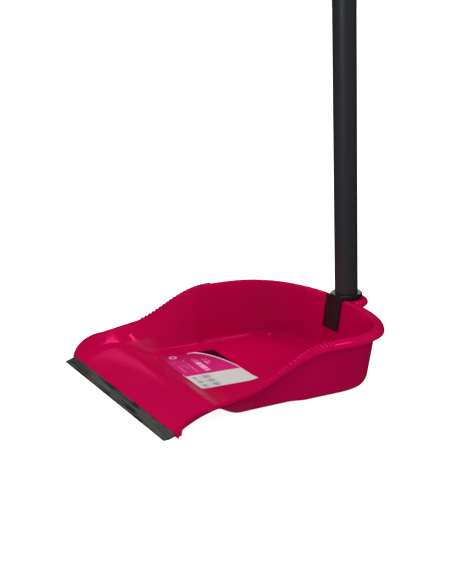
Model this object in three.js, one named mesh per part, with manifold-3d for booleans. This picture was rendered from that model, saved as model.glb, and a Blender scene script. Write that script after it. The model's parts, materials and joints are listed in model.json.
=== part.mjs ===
// Long-handled dust pan: a moulded pan with a rubber front lip and a floor label, and a tube
// handle whose fitting plugs into a socket behind the rear wall. Millimetres, +Z up, the lip
// faces -Y. The origin is the centre of the object's footprint, on the floor.
import * as THREE from "three";
import { mergeVertices } from "three/addons/utils/BufferGeometryUtils.js";
import Module from "manifold-3d";

const wasm = await Module();
wasm.setup();

// Driving dimensions
const lipWidth = 250; // length of the rubber lip, left to right
const lipDepth = 11.2; // front to back
const lipTopRear = 4.6; // height of the lip's rear edge
const wall = 2.4; // pan wall thickness
const frontBead = 0.6; // extra thickness of the pan's front edge
const crestY = 58; // the ramp's crest, measured back from the lip's front edge
const crestHeight = 15;
const rampEndY = 92; // the ramp meets the basin floor here
const earLength = 34; // front corners, where the side walls rise from the lip in a curve
const lowWallHeight = 26; // side wall just behind the front corner
const lowWallSlope = 0.16;
const climbStart = 86; // from here the side walls climb to the rim's full height
const climbLength = 90;
const rimHeight = 64.5;
const rimWidensFrom = 70; // the rolled rim grows wider from here to the rear corners
const cornerStartY = 190; // the straight sides end and the rear corners begin
const frontCrest = 129.3; // half the distance between the side walls' tops at the front
const rearCrest = { across: 121.5, back: 77, power: 2.75 };
const frontOverhang = 1.9; // how far the rim stands out at the front
const rearRim = { across: 134.5, back: 95, power: 2.3 };
const rearFloor = { across: 105, back: 68, power: 3.4 };
const floorStep = 4; // the floor widens by this much either side, over widenLength
const widenStart = 146;
const widenLength = 18;
const sideFillet = 10; // bend between the floor and the side walls
const rearFillet = 16; // and at the middle of the rear wall
const skirtWidth = 1.9; // thickness of the rim's outer edge
const toothCount = 20; // comb teeth on each side
const toothSpan = [94, 177]; // first and last tooth
const toothHeight = 0.9;
const handleY = 281.7; // handle axis where it leaves the rim
const handleLean = THREE.MathUtils.degToRad(2); // forward lean of the handle
const tubeRadius = 12.6;
const tubeWall = 0.6;
const collarRadius = 17.5;
const collarTop = 69.8;
const stemRadius = 12.9;
const stemDepth = 39; // below the rim
const bossRadius = 17;
const bossFlangeRadius = 23.8;
const tongueWidth = 27;
const tongueBottom = 31;
const tongueThickness = 2.6;
const gripLength = 122;
const gripRadius = 15;
const overallHeight = 790;
const hangingHoleRadius = 6.5;
const hangingHoleDown = 22; // from the grip's top to the middle of the hole
const eyeThickness = 13;
const labelSize = [109, 65, 0.4];
const labelMiddle = [-22.7, 120.9];
const labelTurn = THREE.MathUtils.degToRad(-2.5);
const gap = 0.35; // between pieces that touch
const sliver = 0.03; // shorter edges left by the joins are closed up

const panFrontY = lipDepth + gap;
const earEnd = panFrontY + earLength;
const objectDepth = handleY + bossFlangeRadius; // lip front to the back of the socket boss

// Materials
function plastic(color, roughness) {
  return new THREE.MeshStandardMaterial({ color, roughness, metalness: 0 });
}

// Solid helpers
function toSolid(geometry) {
  let bare = geometry.clone();
  bare.deleteAttribute("normal");
  bare.deleteAttribute("uv");
  bare = mergeVertices(bare, 1e-4);
  const index = [];
  const all = bare.index.array;
  for (let i = 0; i < all.length; i += 3) {
    const [a, b, c] = [all[i], all[i + 1], all[i + 2]];
    if (a !== b && b !== c && c !== a) index.push(a, b, c);
  }
  const solid = new wasm.Manifold(
    new wasm.Mesh({
      numProp: 3,
      vertProperties: bare.attributes.position.array,
      triVerts: new Uint32Array(index),
    }),
  );
  if (solid.volume() > 0) return solid;
  for (let i = 0; i < index.length; i += 3) {
    [index[i + 1], index[i + 2]] = [index[i + 2], index[i + 1]];
  }
  return new wasm.Manifold(
    new wasm.Mesh({
      numProp: 3,
      vertProperties: bare.attributes.position.array,
      triVerts: new Uint32Array(index),
    }),
  );
}

function toGeometry(solid) {
  const mesh = solid.getMesh();
  const geometry = new THREE.BufferGeometry();
  geometry.setAttribute("position", new THREE.BufferAttribute(mesh.vertProperties, 3));
  geometry.setIndex(new THREE.BufferAttribute(mesh.triVerts, 1));
  geometry.computeVertexNormals();
  return geometry;
}

function placed(geometry, x, y, z) {
  return geometry.clone().translate(x, y, z);
}

const { lerp } = THREE.MathUtils;

function smooth(t) {
  const u = THREE.MathUtils.clamp(t, 0, 1);
  return u * u * (3 - 2 * u);
}

// A turned solid standing on its axis, from [radius, height] points that start and end on it.
function turned(points, segments = 40) {
  const profile = points.map(([r, z]) => new THREE.Vector2(r, z));
  return new THREE.LatheGeometry(profile, segments).rotateX(Math.PI / 2);
}

// A bar of constant section along X, from [y, z] points.
function barAlongX(points, length) {
  const shape = new THREE.Shape(points.map(([y, z]) => new THREE.Vector2(y, z)));
  const bar = new THREE.ExtrudeGeometry(shape, { depth: length, bevelEnabled: false });
  bar.translate(0, 0, -length / 2);
  bar.applyMatrix4(
    new THREE.Matrix4().makeBasis(
      new THREE.Vector3(0, 1, 0),
      new THREE.Vector3(0, 0, 1),
      new THREE.Vector3(1, 0, 0),
    ),
  );
  return bar;
}

// Pan shape, as functions of the distance behind the lip's front edge
function floorHeight(y) {
  if (y < crestY) {
    const t = (y - panFrontY) / (crestY - panFrontY);
    return lipTopRear + 0.1 + (crestHeight - lipTopRear - 0.1) * Math.sin((t * Math.PI) / 2);
  }
  const t = THREE.MathUtils.clamp((y - crestY) / (rampEndY - crestY), 0, 1);
  return wall + (crestHeight - wall) * (0.5 + 0.5 * Math.cos(t * Math.PI));
}

function shellThickness(y) {
  const beadEnd = 23;
  const beadFade = 8;
  return wall + frontBead * smooth((beadEnd - y) / beadFade);
}

function floorHalfWidth(y) {
  const front = lipWidth / 2 - 3.5;
  const basin = rearFloor.across - floorStep;
  const narrowing = smooth((y - panFrontY) / (rampEndY - panFrontY));
  return lerp(front, basin, narrowing) + floorStep * smooth((y - widenStart) / widenLength);
}

function towardRear(y) {
  return smooth((y - rimWidensFrom) / (cornerStartY - rimWidensFrom));
}

function crestHalfWidth(y) {
  return lerp(frontCrest, rearCrest.across, towardRear(y));
}

function wallTop(y) {
  const lip = 1; // height where the wall starts at the front edge
  if (y < earEnd) {
    const t = (earEnd - y) / (earLength + 0.6);
    return lerp(lip, lowWallHeight, Math.sqrt(1 - t * t));
  }
  const line = lowWallHeight + lowWallSlope * (y - earEnd);
  return lerp(line, rimHeight, smooth((y - climbStart) / climbLength));
}

function rimOverhang(y) {
  return lerp(frontOverhang, rearRim.across - rearCrest.across, towardRear(y));
}

function superellipse({ across, back, power }, angle) {
  return new THREE.Vector2(
    across * Math.pow(Math.cos(angle), 2 / power),
    cornerStartY + back * Math.pow(Math.sin(angle), 2 / power),
  );
}

// Where the pan's section stands at one place on its right-hand outline, front to rear middle.
function sideStation(y) {
  return {
    spine: new THREE.Vector2(0, y),
    floor: new THREE.Vector2(floorHalfWidth(y), y),
    crest: new THREE.Vector2(crestHalfWidth(y), y),
    rim: new THREE.Vector2(crestHalfWidth(y) + rimOverhang(y), y),
    outward: new THREE.Vector2(1, 0),
    floorZ: floorHeight(y),
    topZ: wallTop(y),
    thickness: shellThickness(y),
    drop: lerp(2.6, 6, towardRear(y)),
    fillet: sideFillet,
  };
}

function rearStation(angle) {
  const crest = superellipse(rearCrest, angle);
  const normal = new THREE.Vector2(
    Math.pow(Math.cos(angle), 2 - 2 / rearCrest.power) / rearCrest.across,
    Math.pow(Math.sin(angle), 2 - 2 / rearCrest.power) / rearCrest.back,
  );
  return {
    spine: new THREE.Vector2(0, cornerStartY),
    floor: superellipse(rearFloor, angle),
    crest,
    rim: superellipse(rearRim, angle),
    outward: normal.normalize(),
    floorZ: wall,
    topZ: rimHeight,
    thickness: wall,
    drop: 6 + 1.6 * smooth(angle / (Math.PI / 4)),
    fillet: lerp(sideFillet, rearFillet, smooth(angle / (Math.PI / 2))),
  };
}

function bend(from, corner, to, steps) {
  return new THREE.QuadraticBezierCurve3(from, corner, to).getPoints(steps);
}

// The closed section of the shell at a station: along the inside, over the rim, back outside.
function shellSection(s) {
  const at = (p, z) => new THREE.Vector3(p.x, p.y, z);
  const out = new THREE.Vector3(s.outward.x, s.outward.y, 0);
  const foot = at(s.floor, s.floorZ);
  const top = at(s.crest, s.topZ - 1.2);
  const spine = at(s.spine, s.floorZ);
  const rise = top.clone().sub(foot);
  const toSpine = spine.clone().sub(foot).normalize();
  const reach = Math.min(s.fillet, rise.length() * 0.42);
  const inner = [spine, spine.clone().lerp(foot, 0.5)];
  inner.push(
    ...bend(
      foot.clone().addScaledVector(toSpine, reach),
      foot,
      foot.clone().addScaledVector(rise.clone().normalize(), reach),
      4,
    ),
  );
  inner.push(foot.clone().lerp(top, 0.72), top);

  const overhang = s.rim.clone().sub(s.crest);
  const side = new THREE.Vector3(overhang.x, overhang.y, 0);
  const over = (share, z) => at(s.crest, s.topZ + z).addScaledVector(side, share);
  const rim = [
    over(0.1, -0.3),
    over(0.23, 0),
    over(0.46, -0.1 * s.drop),
    over(0.7, -0.3 * s.drop),
    over(0.9, -0.58 * s.drop),
    over(1, -s.drop),
  ];
  // Where the rim stands out far enough, its underside is hollow behind the skirt.
  const width = side.length();
  const skirt = Math.max(s.thickness, width - skirtWidth);
  const hollow = smooth((width - skirtWidth - s.thickness) / 2.5);
  const under = (offset, z) => at(s.crest, s.topZ + z).addScaledVector(side, offset / width);
  const below = [
    under(skirt, -s.drop - lerp(0.25, 0.05, hollow)),
    under(Math.max(s.thickness, 0.72 * skirt), -lerp(s.drop + 0.6, 0.42 * s.drop + 1.9, hollow)),
  ];

  const shift = out.clone().multiplyScalar(s.thickness);
  const outerTop = top.clone().add(shift);
  outerTop.z = s.topZ - lerp(s.drop + 0.9, 0.25 * s.drop + 2.6, hollow);
  const outerFoot = foot.clone().add(shift);
  outerFoot.z -= s.thickness;
  const outerRise = outerTop.clone().sub(outerFoot);
  const outerReach = Math.min(s.fillet - 1, outerRise.length() * 0.42);
  const outer = [outerTop, outerFoot.clone().lerp(outerTop, 0.7)];
  outer.push(
    ...bend(
      outerFoot.clone().addScaledVector(outerRise.clone().normalize(), outerReach),
      outerFoot,
      outerFoot.clone().addScaledVector(toSpine, outerReach),
      3,
    ),
  );
  const lower = new THREE.Vector3(0, 0, -s.thickness);
  outer.push(outerFoot.clone().lerp(spine.clone().add(lower), 0.5), spine.clone().add(lower));
  return [...inner, ...rim, ...below, ...outer];
}

function panShell() {
  const right = [];
  const earSteps = 8;
  for (let i = 0; i <= earSteps; i++) {
    right.push(sideStation(panFrontY + earLength * Math.pow(i / earSteps, 1.8)));
  }
  // Then every second gap between the comb teeth, and a little closer ahead of them.
  const stride = (2 * (toothSpan[1] - toothSpan[0])) / (toothCount - 1);
  const firstGap = toothSpan[0] - stride / 4;
  const lowSteps = 9;
  for (let i = 1; i < lowSteps; i++) {
    right.push(sideStation(lerp(earEnd, firstGap, i / lowSteps)));
  }
  for (let i = 0; i <= toothCount / 2; i++) right.push(sideStation(firstGap + i * stride));
  const cornerSteps = 18;
  for (let i = 0; i <= cornerSteps; i++) {
    right.push(rearStation(((Math.PI / 2) * i) / cornerSteps));
  }
  const sections = right.map(shellSection);
  const mirrored = sections
    .slice(0, -1)
    .reverse()
    .map((section) => section.map((p) => new THREE.Vector3(-p.x, p.y, p.z)));
  sections[sections.length - 1].forEach((p) => (p.x = 0));
  const rings = [...sections, ...mirrored];

  const position = rings.flat().flatMap((p) => [p.x, p.y, p.z]);
  const count = rings[0].length;
  const index = [];
  for (let i = 0; i + 1 < rings.length; i++) {
    for (let j = 0; j + 1 < count; j++) {
      const a = i * count + j;
      const b = a + count;
      index.push(a, a + 1, b, a + 1, b + 1, b);
    }
  }
  for (const [ring, flip] of [
    [0, false],
    [rings.length - 1, true],
  ]) {
    const outline = rings[ring].map((p) => new THREE.Vector2(Math.abs(p.x), p.z));
    for (const [a, b, c] of THREE.ShapeUtils.triangulateShape(outline, [])) {
      const base = ring * count;
      index.push(base + a, base + (flip ? c : b), base + (flip ? b : c));
    }
  }
  const geometry = new THREE.BufferGeometry();
  geometry.setAttribute("position", new THREE.Float32BufferAttribute(position, 3));
  geometry.setIndex(index);
  return toSolid(geometry);
}

// Comb teeth: low ridges across the rim where the side wall climbs.
function combTeeth() {
  const teeth = [];
  const length = 1.9;
  for (let i = 0; i < toothCount; i++) {
    const y = lerp(toothSpan[0], toothSpan[1], i / (toothCount - 1));
    const inset = 0.165 * rimOverhang(y);
    const reach = 0.42 * rimOverhang(y);
    const height = toothHeight + 1.6;
    for (const side of [-1, 1]) {
      const tooth = new THREE.BoxGeometry(reach, length, height);
      const x = side * (crestHalfWidth(y) + inset + reach / 2);
      teeth.push(toSolid(placed(tooth, x, y, wallTop(y) + toothHeight - height / 2)));
    }
  }
  return teeth;
}

// The handle's frame: its axis leans towards the lip, about a point at rim height.
const handleFrame = new THREE.Matrix4()
  .makeTranslation(0, handleY, rimHeight)
  .multiply(new THREE.Matrix4().makeRotationX(handleLean));

function onHandle(geometry) {
  return geometry.applyMatrix4(handleFrame);
}

const bossBottom = -stemDepth - 4;

function socketBoss() {
  const outside = turned([
    [0, bossBottom],
    [bossRadius - 2, bossBottom],
    [bossRadius, bossBottom + 2],
    [bossRadius, -11],
    [bossFlangeRadius - 1.5, -8.5],
    [bossFlangeRadius, -6.5],
    [bossFlangeRadius - 0.6, -3.6],
    [bossFlangeRadius - 2.6, -1.6],
    [bossFlangeRadius - 5.5, -0.8],
    [0, -0.8],
  ]);
  const boss = toSolid(onHandle(outside));
  const midWall = wall / 2;
  const bottomY = cornerStartY + rearFloor.back + midWall;
  const topY = cornerStartY + rearCrest.back + midWall;
  const insideWall = barAlongX(
    [
      [bottomY - 40, 0],
      [bottomY, 0],
      [topY, rimHeight],
      [topY, rimHeight + 20],
      [bottomY - 40, rimHeight + 20],
    ],
    80,
  );
  return boss.subtract(toSolid(insideWall));
}

function socketHole() {
  const top = 12;
  return toSolid(
    onHandle(
      turned([
        [0, -stemDepth - 0.6],
        [stemRadius + gap, -stemDepth - 0.6],
        [stemRadius + gap, top],
        [0, top],
      ]),
    ),
  );
}

const lipNose = 0.9; // height of the lip's front edge
const lipSlope = (lipTopRear - lipNose) / lipDepth;
const rootReach = 3.4; // how far the lip's root reaches into the pan's front edge
const rootWidth = 235;
const rootHeight = 3.3;
const rootHalf = 0.42; // half its thickness

function lipSlot() {
  const half = rootHalf + gap;
  const from = lipDepth - 2;
  const to = lipDepth + rootReach + gap;
  const z = (y) => rootHeight + lipSlope * (y - lipDepth);
  const profile = [
    [from, z(from) - half],
    [to, z(to) - half],
    [to, z(to) + half],
    [from, z(from) + half],
  ];
  return toSolid(barAlongX(profile, rootWidth + 1));
}

function frontFeet() {
  const foot = new THREE.CylinderGeometry(2.9, 2.3, 5, 20).rotateX(Math.PI / 2);
  return [-1, 1].map((side) => toSolid(placed(foot, side * (lipWidth / 2 - 4.2), 17.6, 2.5)));
}

function pan() {
  let solid = panShell();
  for (const tooth of combTeeth()) solid = solid.add(tooth);
  for (const foot of frontFeet()) solid = solid.add(foot);
  solid = solid.add(socketBoss()).subtract(socketHole()).subtract(lipSlot());
  return solid.simplify(sliver);
}

function rubberLip() {
  const start = lipDepth - 2;
  const end = lipDepth + rootReach;
  const z = (y) => rootHeight + lipSlope * (y - lipDepth);
  const blade = barAlongX(
    [
      [0, 0],
      [5.2, 0],
      [lipDepth, 2],
      [lipDepth, lipTopRear],
      [0.3, lipNose],
    ],
    lipWidth,
  );
  const strip = barAlongX(
    [
      [start, z(start) - rootHalf],
      [end, z(end) - rootHalf],
      [end, z(end) + rootHalf],
      [start, z(start) + rootHalf],
    ],
    rootWidth,
  );
  return toSolid(blade).add(toSolid(strip));
}

// A thin sheet, stuck on a little askew, that follows the end of the ramp onto the basin floor.
function floorLabel() {
  const [width, depth, thickness] = labelSize;
  const sheet = new THREE.BoxGeometry(width, depth, thickness, 1, 12, 1);
  sheet.rotateZ(labelTurn).translate(...labelMiddle, gap + thickness / 2);
  const points = sheet.attributes.position;
  for (let i = 0; i < points.count; i++) {
    points.setZ(i, points.getZ(i) + floorHeight(points.getY(i)));
  }
  return toGeometry(toSolid(sheet));
}

const spigotRadius = tubeRadius - tubeWall - 0.3;
const spigotTop = 44; // above the rim

// Collar, stem and spigot in one turned body, with the strap and tongue over the rear wall.
function handleFitting() {
  const collarBase = 0.6;
  const collarRim = collarTop - rimHeight;
  const body = toSolid(
    onHandle(
      turned([
        [0, -stemDepth],
        [stemRadius - 1.5, -stemDepth],
        [stemRadius, -stemDepth + 2.5],
        [stemRadius, collarBase],
        [collarRadius - 0.8, collarBase],
        [collarRadius, collarBase + 1],
        [collarRadius, collarRim - 1.2],
        [collarRadius - 1.2, collarRim],
        [spigotRadius, collarRim],
        [spigotRadius, spigotTop - 2],
        [spigotRadius - 2, spigotTop],
        [0, spigotTop],
      ]),
    ),
  );
  const crest = cornerStartY + rearCrest.back;
  const bottomWallY = cornerStartY + rearFloor.back;
  const wallY = (z) => lerp(bottomWallY, crest, (z - wall) / (rimHeight - 1.2 - wall));
  const strapTop = rimHeight + 2.9;
  const backOfTongue = (z) => wallY(z) - gap;
  const strap = barAlongX(
    [
      [backOfTongue(tongueBottom), tongueBottom],
      [backOfTongue(rimHeight - 1), rimHeight - 1],
      [crest + 0.3, rimHeight + gap],
      [handleY - 6, rimHeight + 0.7],
      [handleY - 6, strapTop],
      [crest - 1.6, strapTop],
      [crest - 2.6, strapTop - 1],
      [backOfTongue(tongueBottom + 1) - tongueThickness, tongueBottom + 1.4],
      [backOfTongue(tongueBottom) - tongueThickness + 0.9, tongueBottom],
    ],
    tongueWidth,
  );
  return body.add(toSolid(strap));
}

const tubeBottom = collarTop - rimHeight + gap;
const gripTop = (overallHeight - rimHeight) / Math.cos(handleLean);
const gripBottom = gripTop - gripLength;
const tubeTop = gripBottom + 62;

function handleTube() {
  const inner = tubeRadius - tubeWall;
  const profile = [
    [inner, tubeBottom],
    [tubeRadius, tubeBottom],
    [tubeRadius, tubeTop],
    [inner, tubeTop],
    [inner, tubeBottom],
  ];
  return turned(profile, 48);
}

// Moulded end grip: a blind socket over the tube, a waisted hand hold and a flat hanging eye.
function handGrip() {
  const top = gripTop;
  const outside = toSolid(
    turned(
      [
        [0, gripBottom],
        [gripRadius - 0.8, gripBottom],
        [gripRadius, gripBottom + 1],
        [gripRadius, gripBottom + 8],
        [gripRadius - 0.7, gripBottom + 10],
        [gripRadius - 0.9, gripBottom + 40],
        [gripRadius - 0.4, gripBottom + 66],
        [gripRadius - 0.6, top - 26],
        [gripRadius - 1.6, top - 12],
        [gripRadius - 4.4, top - 4],
        [gripRadius - 8.4, top - 0.8],
        [0, top],
      ],
      40,
    ),
  );
  const socket = turned(
    [
      [0, gripBottom - 5],
      [tubeRadius + gap, gripBottom - 5],
      [tubeRadius + gap, tubeTop + 0.6],
      [0, tubeTop + 0.6],
    ],
    48,
  );
  const eyeZ = top - hangingHoleDown;
  const eye = new THREE.CylinderGeometry(hangingHoleRadius, hangingHoleRadius, 60, 32);
  let grip = outside.subtract(toSolid(socket)).subtract(toSolid(placed(eye, 0, 0, eyeZ)));
  const flatHeight = 60;
  const flatZ = top - 38 + flatHeight / 2;
  const cut = 20;
  for (const side of [-1, 1]) {
    const cheek = new THREE.BoxGeometry(60, cut, flatHeight);
    grip = grip.subtract(toSolid(placed(cheek, 0, (side * (eyeThickness + cut)) / 2, flatZ)));
  }
  return grip;
}

// Assembly
const dustPan = new THREE.Group();
const onFloor = new THREE.Group();
onFloor.position.y = -objectDepth / 2;
dustPan.add(onFloor);
const handle = new THREE.Group();
handle.applyMatrix4(handleFrame);
onFloor.add(handle);

function addPiece(parent, name, shape, material) {
  const geometry = shape.isBufferGeometry ? shape : toGeometry(shape);
  const mesh = new THREE.Mesh(geometry, material);
  mesh.name = name;
  parent.add(mesh);
}

addPiece(onFloor, "pan", pan(), plastic(0xa8003c, 0.28));
addPiece(onFloor, "rubber_lip", rubberLip(), plastic(0x2b2b2d, 0.7));
addPiece(onFloor, "floor_label", floorLabel(), plastic(0xc9186f, 0.4));
addPiece(onFloor, "handle_fitting", handleFitting(), plastic(0x1b1b1e, 0.5));
addPiece(handle, "handle_tube", handleTube(), plastic(0x232427, 0.45));
addPiece(handle, "hand_grip", handGrip(), plastic(0x1d1d20, 0.5));

export default dustPan;
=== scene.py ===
import bpy, bmesh, json, math
from mathutils import Matrix, Vector


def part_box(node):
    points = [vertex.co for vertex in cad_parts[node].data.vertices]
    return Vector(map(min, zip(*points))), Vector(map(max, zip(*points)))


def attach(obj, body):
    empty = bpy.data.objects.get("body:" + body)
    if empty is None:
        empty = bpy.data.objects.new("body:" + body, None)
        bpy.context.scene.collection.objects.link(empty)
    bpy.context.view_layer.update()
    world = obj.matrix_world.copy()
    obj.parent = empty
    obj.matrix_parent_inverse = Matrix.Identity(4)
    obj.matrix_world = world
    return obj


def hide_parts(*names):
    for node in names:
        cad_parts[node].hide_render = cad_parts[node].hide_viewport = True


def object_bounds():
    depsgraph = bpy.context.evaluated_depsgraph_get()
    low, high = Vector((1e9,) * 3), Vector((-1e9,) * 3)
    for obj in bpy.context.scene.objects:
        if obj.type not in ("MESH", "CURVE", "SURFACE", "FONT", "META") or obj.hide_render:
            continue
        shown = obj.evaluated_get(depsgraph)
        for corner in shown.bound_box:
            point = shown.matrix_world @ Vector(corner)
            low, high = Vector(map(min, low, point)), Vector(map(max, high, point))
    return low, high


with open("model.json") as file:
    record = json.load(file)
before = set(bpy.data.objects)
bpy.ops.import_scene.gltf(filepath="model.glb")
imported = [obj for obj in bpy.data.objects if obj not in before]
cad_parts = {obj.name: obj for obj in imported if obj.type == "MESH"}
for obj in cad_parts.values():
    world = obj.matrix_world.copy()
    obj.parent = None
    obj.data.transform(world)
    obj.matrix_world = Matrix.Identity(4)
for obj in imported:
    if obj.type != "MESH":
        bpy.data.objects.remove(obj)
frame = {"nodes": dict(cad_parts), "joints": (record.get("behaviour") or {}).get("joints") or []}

cadLow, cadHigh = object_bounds()
panLow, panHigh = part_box("pan")
labelLow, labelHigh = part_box("floor_label")
tubeLow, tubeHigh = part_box("handle_tube")
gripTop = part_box("hand_grip")[1].z
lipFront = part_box("rubber_lip")[0].y      # distances along the pan are measured back from here
mm = 0.001
up = Vector((0, 0, 1))
print("frame loaded", len(frame["nodes"]), "nodes")


# the camera, made first
cameraSetup = {
    "azimuth": 60.9,                      # degrees round the pan; 0 looks from the lip to the handle
    "elevation": 16.13,
    "roll": -0.29,
    "distance": 1.1,
    "aim": (12.1 * mm, -15.7 * mm, 43.2 * mm),   # from the middle of the pan's box
    "lens": 66.2,
    "shift": (-0.026, 0.0255),
}


def makeCamera(setup):
    azimuth, elevation = math.radians(setup["azimuth"]), math.radians(setup["elevation"])
    level = math.cos(elevation)
    back = Vector((math.sin(azimuth) * level, -math.cos(azimuth) * level, math.sin(elevation)))
    data = bpy.data.cameras.new("shopCamera")
    data.lens = setup["lens"]
    data.shift_x, data.shift_y = setup["shift"]
    camera = bpy.data.objects.new("shopCamera", data)
    bpy.context.scene.collection.objects.link(camera)
    camera.location = (panLow + panHigh) / 2 + Vector(setup["aim"]) + back * setup["distance"]
    camera.rotation_mode = "QUATERNION"
    roll = Matrix.Rotation(math.radians(setup["roll"]), 3, "Z").to_quaternion()
    camera.rotation_quaternion = (-back).to_track_quat("-Z", "Y") @ roll
    bpy.context.scene.camera = camera
    print("camera set")


makeCamera(cameraSetup)


# lines and curves
def smoothStep(t):
    u = min(1, max(0, t))
    return u * u * (3 - 2 * u)


def mix(a, b, t):
    return a + (b - a) * t


def spread(a, b, steps):
    return [mix(a, b, i / steps) for i in range(steps)]      # the end is left to the next stretch


def smoothLine(points, steps):
    # a Catmull-Rom line through the points
    line = []
    for i in range(len(points) - 1):
        a, b = points[max(i - 1, 0)], points[i]
        c, d = points[i + 1], points[min(i + 2, len(points) - 1)]
        for t in spread(0, 1, steps):
            line.append(0.5 * (2 * b + (c - a) * t + (2 * a - 5 * b + 4 * c - d) * t * t
                               + (3 * b - a - 3 * c + d) * t ** 3))
    return line + [points[-1]]


def bend(start, corner, end, steps):
    return [start * (1 - t) ** 2 + corner * 2 * t * (1 - t) + end * t * t
            for t in spread(0, 1, steps)] + [end]


def rounded(outline, radius, steps=5):
    # rounds the inner corners of an open outline of (a, b) points
    points = [Vector((*p, 0)) for p in outline]
    line = [points[0]]
    for before, corner, after in zip(points, points[1:], points[2:]):
        reach = min(radius, (before - corner).length * 0.48, (after - corner).length * 0.48)
        line += bend(corner + (before - corner).normalized() * reach, corner,
                     corner + (after - corner).normalized() * reach, steps)
    return [(p.x, p.y) for p in line + [points[-1]]]


# meshes
def meshFrom(name, points, faces, mergeAt=0.01 * mm):
    mesh = bpy.data.meshes.new(name)
    mesh.from_pydata(points, [], faces)
    work = bmesh.new()
    work.from_mesh(mesh)
    bmesh.ops.remove_doubles(work, verts=work.verts, dist=mergeAt)
    bmesh.ops.dissolve_degenerate(work, edges=work.edges, dist=mergeAt)
    bmesh.ops.recalc_face_normals(work, faces=work.faces)
    work.to_mesh(mesh)
    work.free()
    thing = bpy.data.objects.new(name, mesh)
    bpy.context.scene.collection.objects.link(thing)
    return thing


def ringFaces(ringCount, count, closed=False):
    # quads between neighbouring rings of points
    faces = []
    for i in range(ringCount - 1):
        for j in range(count if closed else count - 1):
            k = (j + 1) % count
            faces.append((i * count + j, i * count + k, (i + 1) * count + k, (i + 1) * count + j))
    return faces


def endCaps(ringCount, count):
    return [tuple(range(count)), tuple(range((ringCount - 1) * count, ringCount * count))]


def turned(name, profile, place, segments=96):
    # a turned solid; its (radius, height) profile starts and ends on the axis or closes on itself
    points = []
    for i in range(segments + 1):
        angle = 2 * math.pi * (i % segments) / segments
        points += [place @ Vector((r * math.cos(angle), r * math.sin(angle), z)) for r, z in profile]
    return meshFrom(name, points, ringFaces(segments + 1, len(profile)), 0.004 * mm)


def barAlongX(name, section, halfLength, steps=1):
    # a bar of one (y, z) section along X, closed at both ends
    points = []
    for i in range(steps + 1):
        x = mix(-halfLength, halfLength, i / steps)
        points += [Vector((x, y, z)) for y, z in section]
    count = len(section)
    return meshFrom(name, points, ringFaces(steps + 1, count, True) + endCaps(steps + 1, count))


def applyModifiers(thing):
    graph = bpy.context.evaluated_depsgraph_get()
    made = bpy.data.meshes.new_from_object(thing.evaluated_get(graph))
    thing.modifiers.clear()
    thing.data = made


def shapeWith(thing, other, operation):
    # joins another solid to this one or cuts it away, and removes it
    step = thing.modifiers.new("shape", "BOOLEAN")
    step.operation = operation
    step.solver = "MANIFOLD"
    step.object = other
    bpy.context.view_layer.update()
    applyModifiers(thing)
    bpy.data.objects.remove(other)


def bevelEdges(thing, width, segments=3, angle=35):
    step = thing.modifiers.new("bevel", "BEVEL")
    step.width = width
    step.segments = segments
    step.limit_method = "ANGLE"
    step.angle_limit = math.radians(angle)
    step.harden_normals = False
    applyModifiers(thing)


def finishPiece(thing, node, body, sharpAngle=32):
    thing.data.shade_smooth()
    thing.data.set_sharp_from_angle(angle=math.radians(sharpAngle))
    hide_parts(node)
    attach(thing, body)
    print(thing.name, "made", len(thing.data.vertices), "points")
    return thing


def dress(piece, material):
    piece.data.materials.clear()
    piece.data.materials.append(material)
    return piece


# material nodes
def newMaterial(name):
    material = bpy.data.materials.new(name)
    material.use_nodes = True
    tree = material.node_tree
    return material, tree, tree.nodes["Principled BSDF"]


def objectPlace(tree, scale=(1, 1, 1)):
    # object coordinates in metres, stretched by scale
    place = tree.nodes.new("ShaderNodeTexCoord")
    mapping = tree.nodes.new("ShaderNodeMapping")
    mapping.inputs["Scale"].default_value = scale
    tree.links.new(place.outputs["Object"], mapping.inputs["Vector"])
    return mapping.outputs["Vector"]


def noiseAt(tree, where, scale, detail=2, roughness=0.5):
    noise = tree.nodes.new("ShaderNodeTexNoise")
    noise.inputs["Scale"].default_value = scale
    noise.inputs["Detail"].default_value = detail
    noise.inputs["Roughness"].default_value = roughness
    tree.links.new(where, noise.inputs["Vector"])
    return noise.outputs["Fac"]


def ranged(tree, value, low, high, fromLow=0.3, fromHigh=0.7):
    node = tree.nodes.new("ShaderNodeMapRange")
    node.inputs["From Min"].default_value = fromLow
    node.inputs["From Max"].default_value = fromHigh
    node.inputs["To Min"].default_value = low
    node.inputs["To Max"].default_value = high
    tree.links.new(value, node.inputs["Value"])
    return node.outputs["Result"]


def calc(tree, operation, a, b=0.0):
    node = tree.nodes.new("ShaderNodeMath")
    node.operation = operation
    for socket, value in zip(node.inputs, (a, b)):
        if isinstance(value, (int, float)):
            socket.default_value = value
        else:
            tree.links.new(value, socket)
    return node.outputs["Value"]


def blendColours(tree, share, first, second):
    node = tree.nodes.new("ShaderNodeMix")
    node.data_type = "RGBA"
    for socket, value in ((node.inputs[0], share), (node.inputs[6], first), (node.inputs[7], second)):
        if isinstance(value, tuple):
            socket.default_value = (*value, 1)
        else:
            tree.links.new(value, socket)
    return node.outputs[2]


def addBump(tree, shader, height, depth):
    bump = tree.nodes.new("ShaderNodeBump")
    bump.inputs["Strength"].default_value = 1
    bump.inputs["Distance"].default_value = depth
    tree.links.new(height, bump.inputs["Height"])
    tree.links.new(bump.outputs["Normal"], shader.inputs["Normal"])


def setSockets(shader, values):
    for name, value in values.items():
        shader.inputs[name].default_value = value


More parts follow.
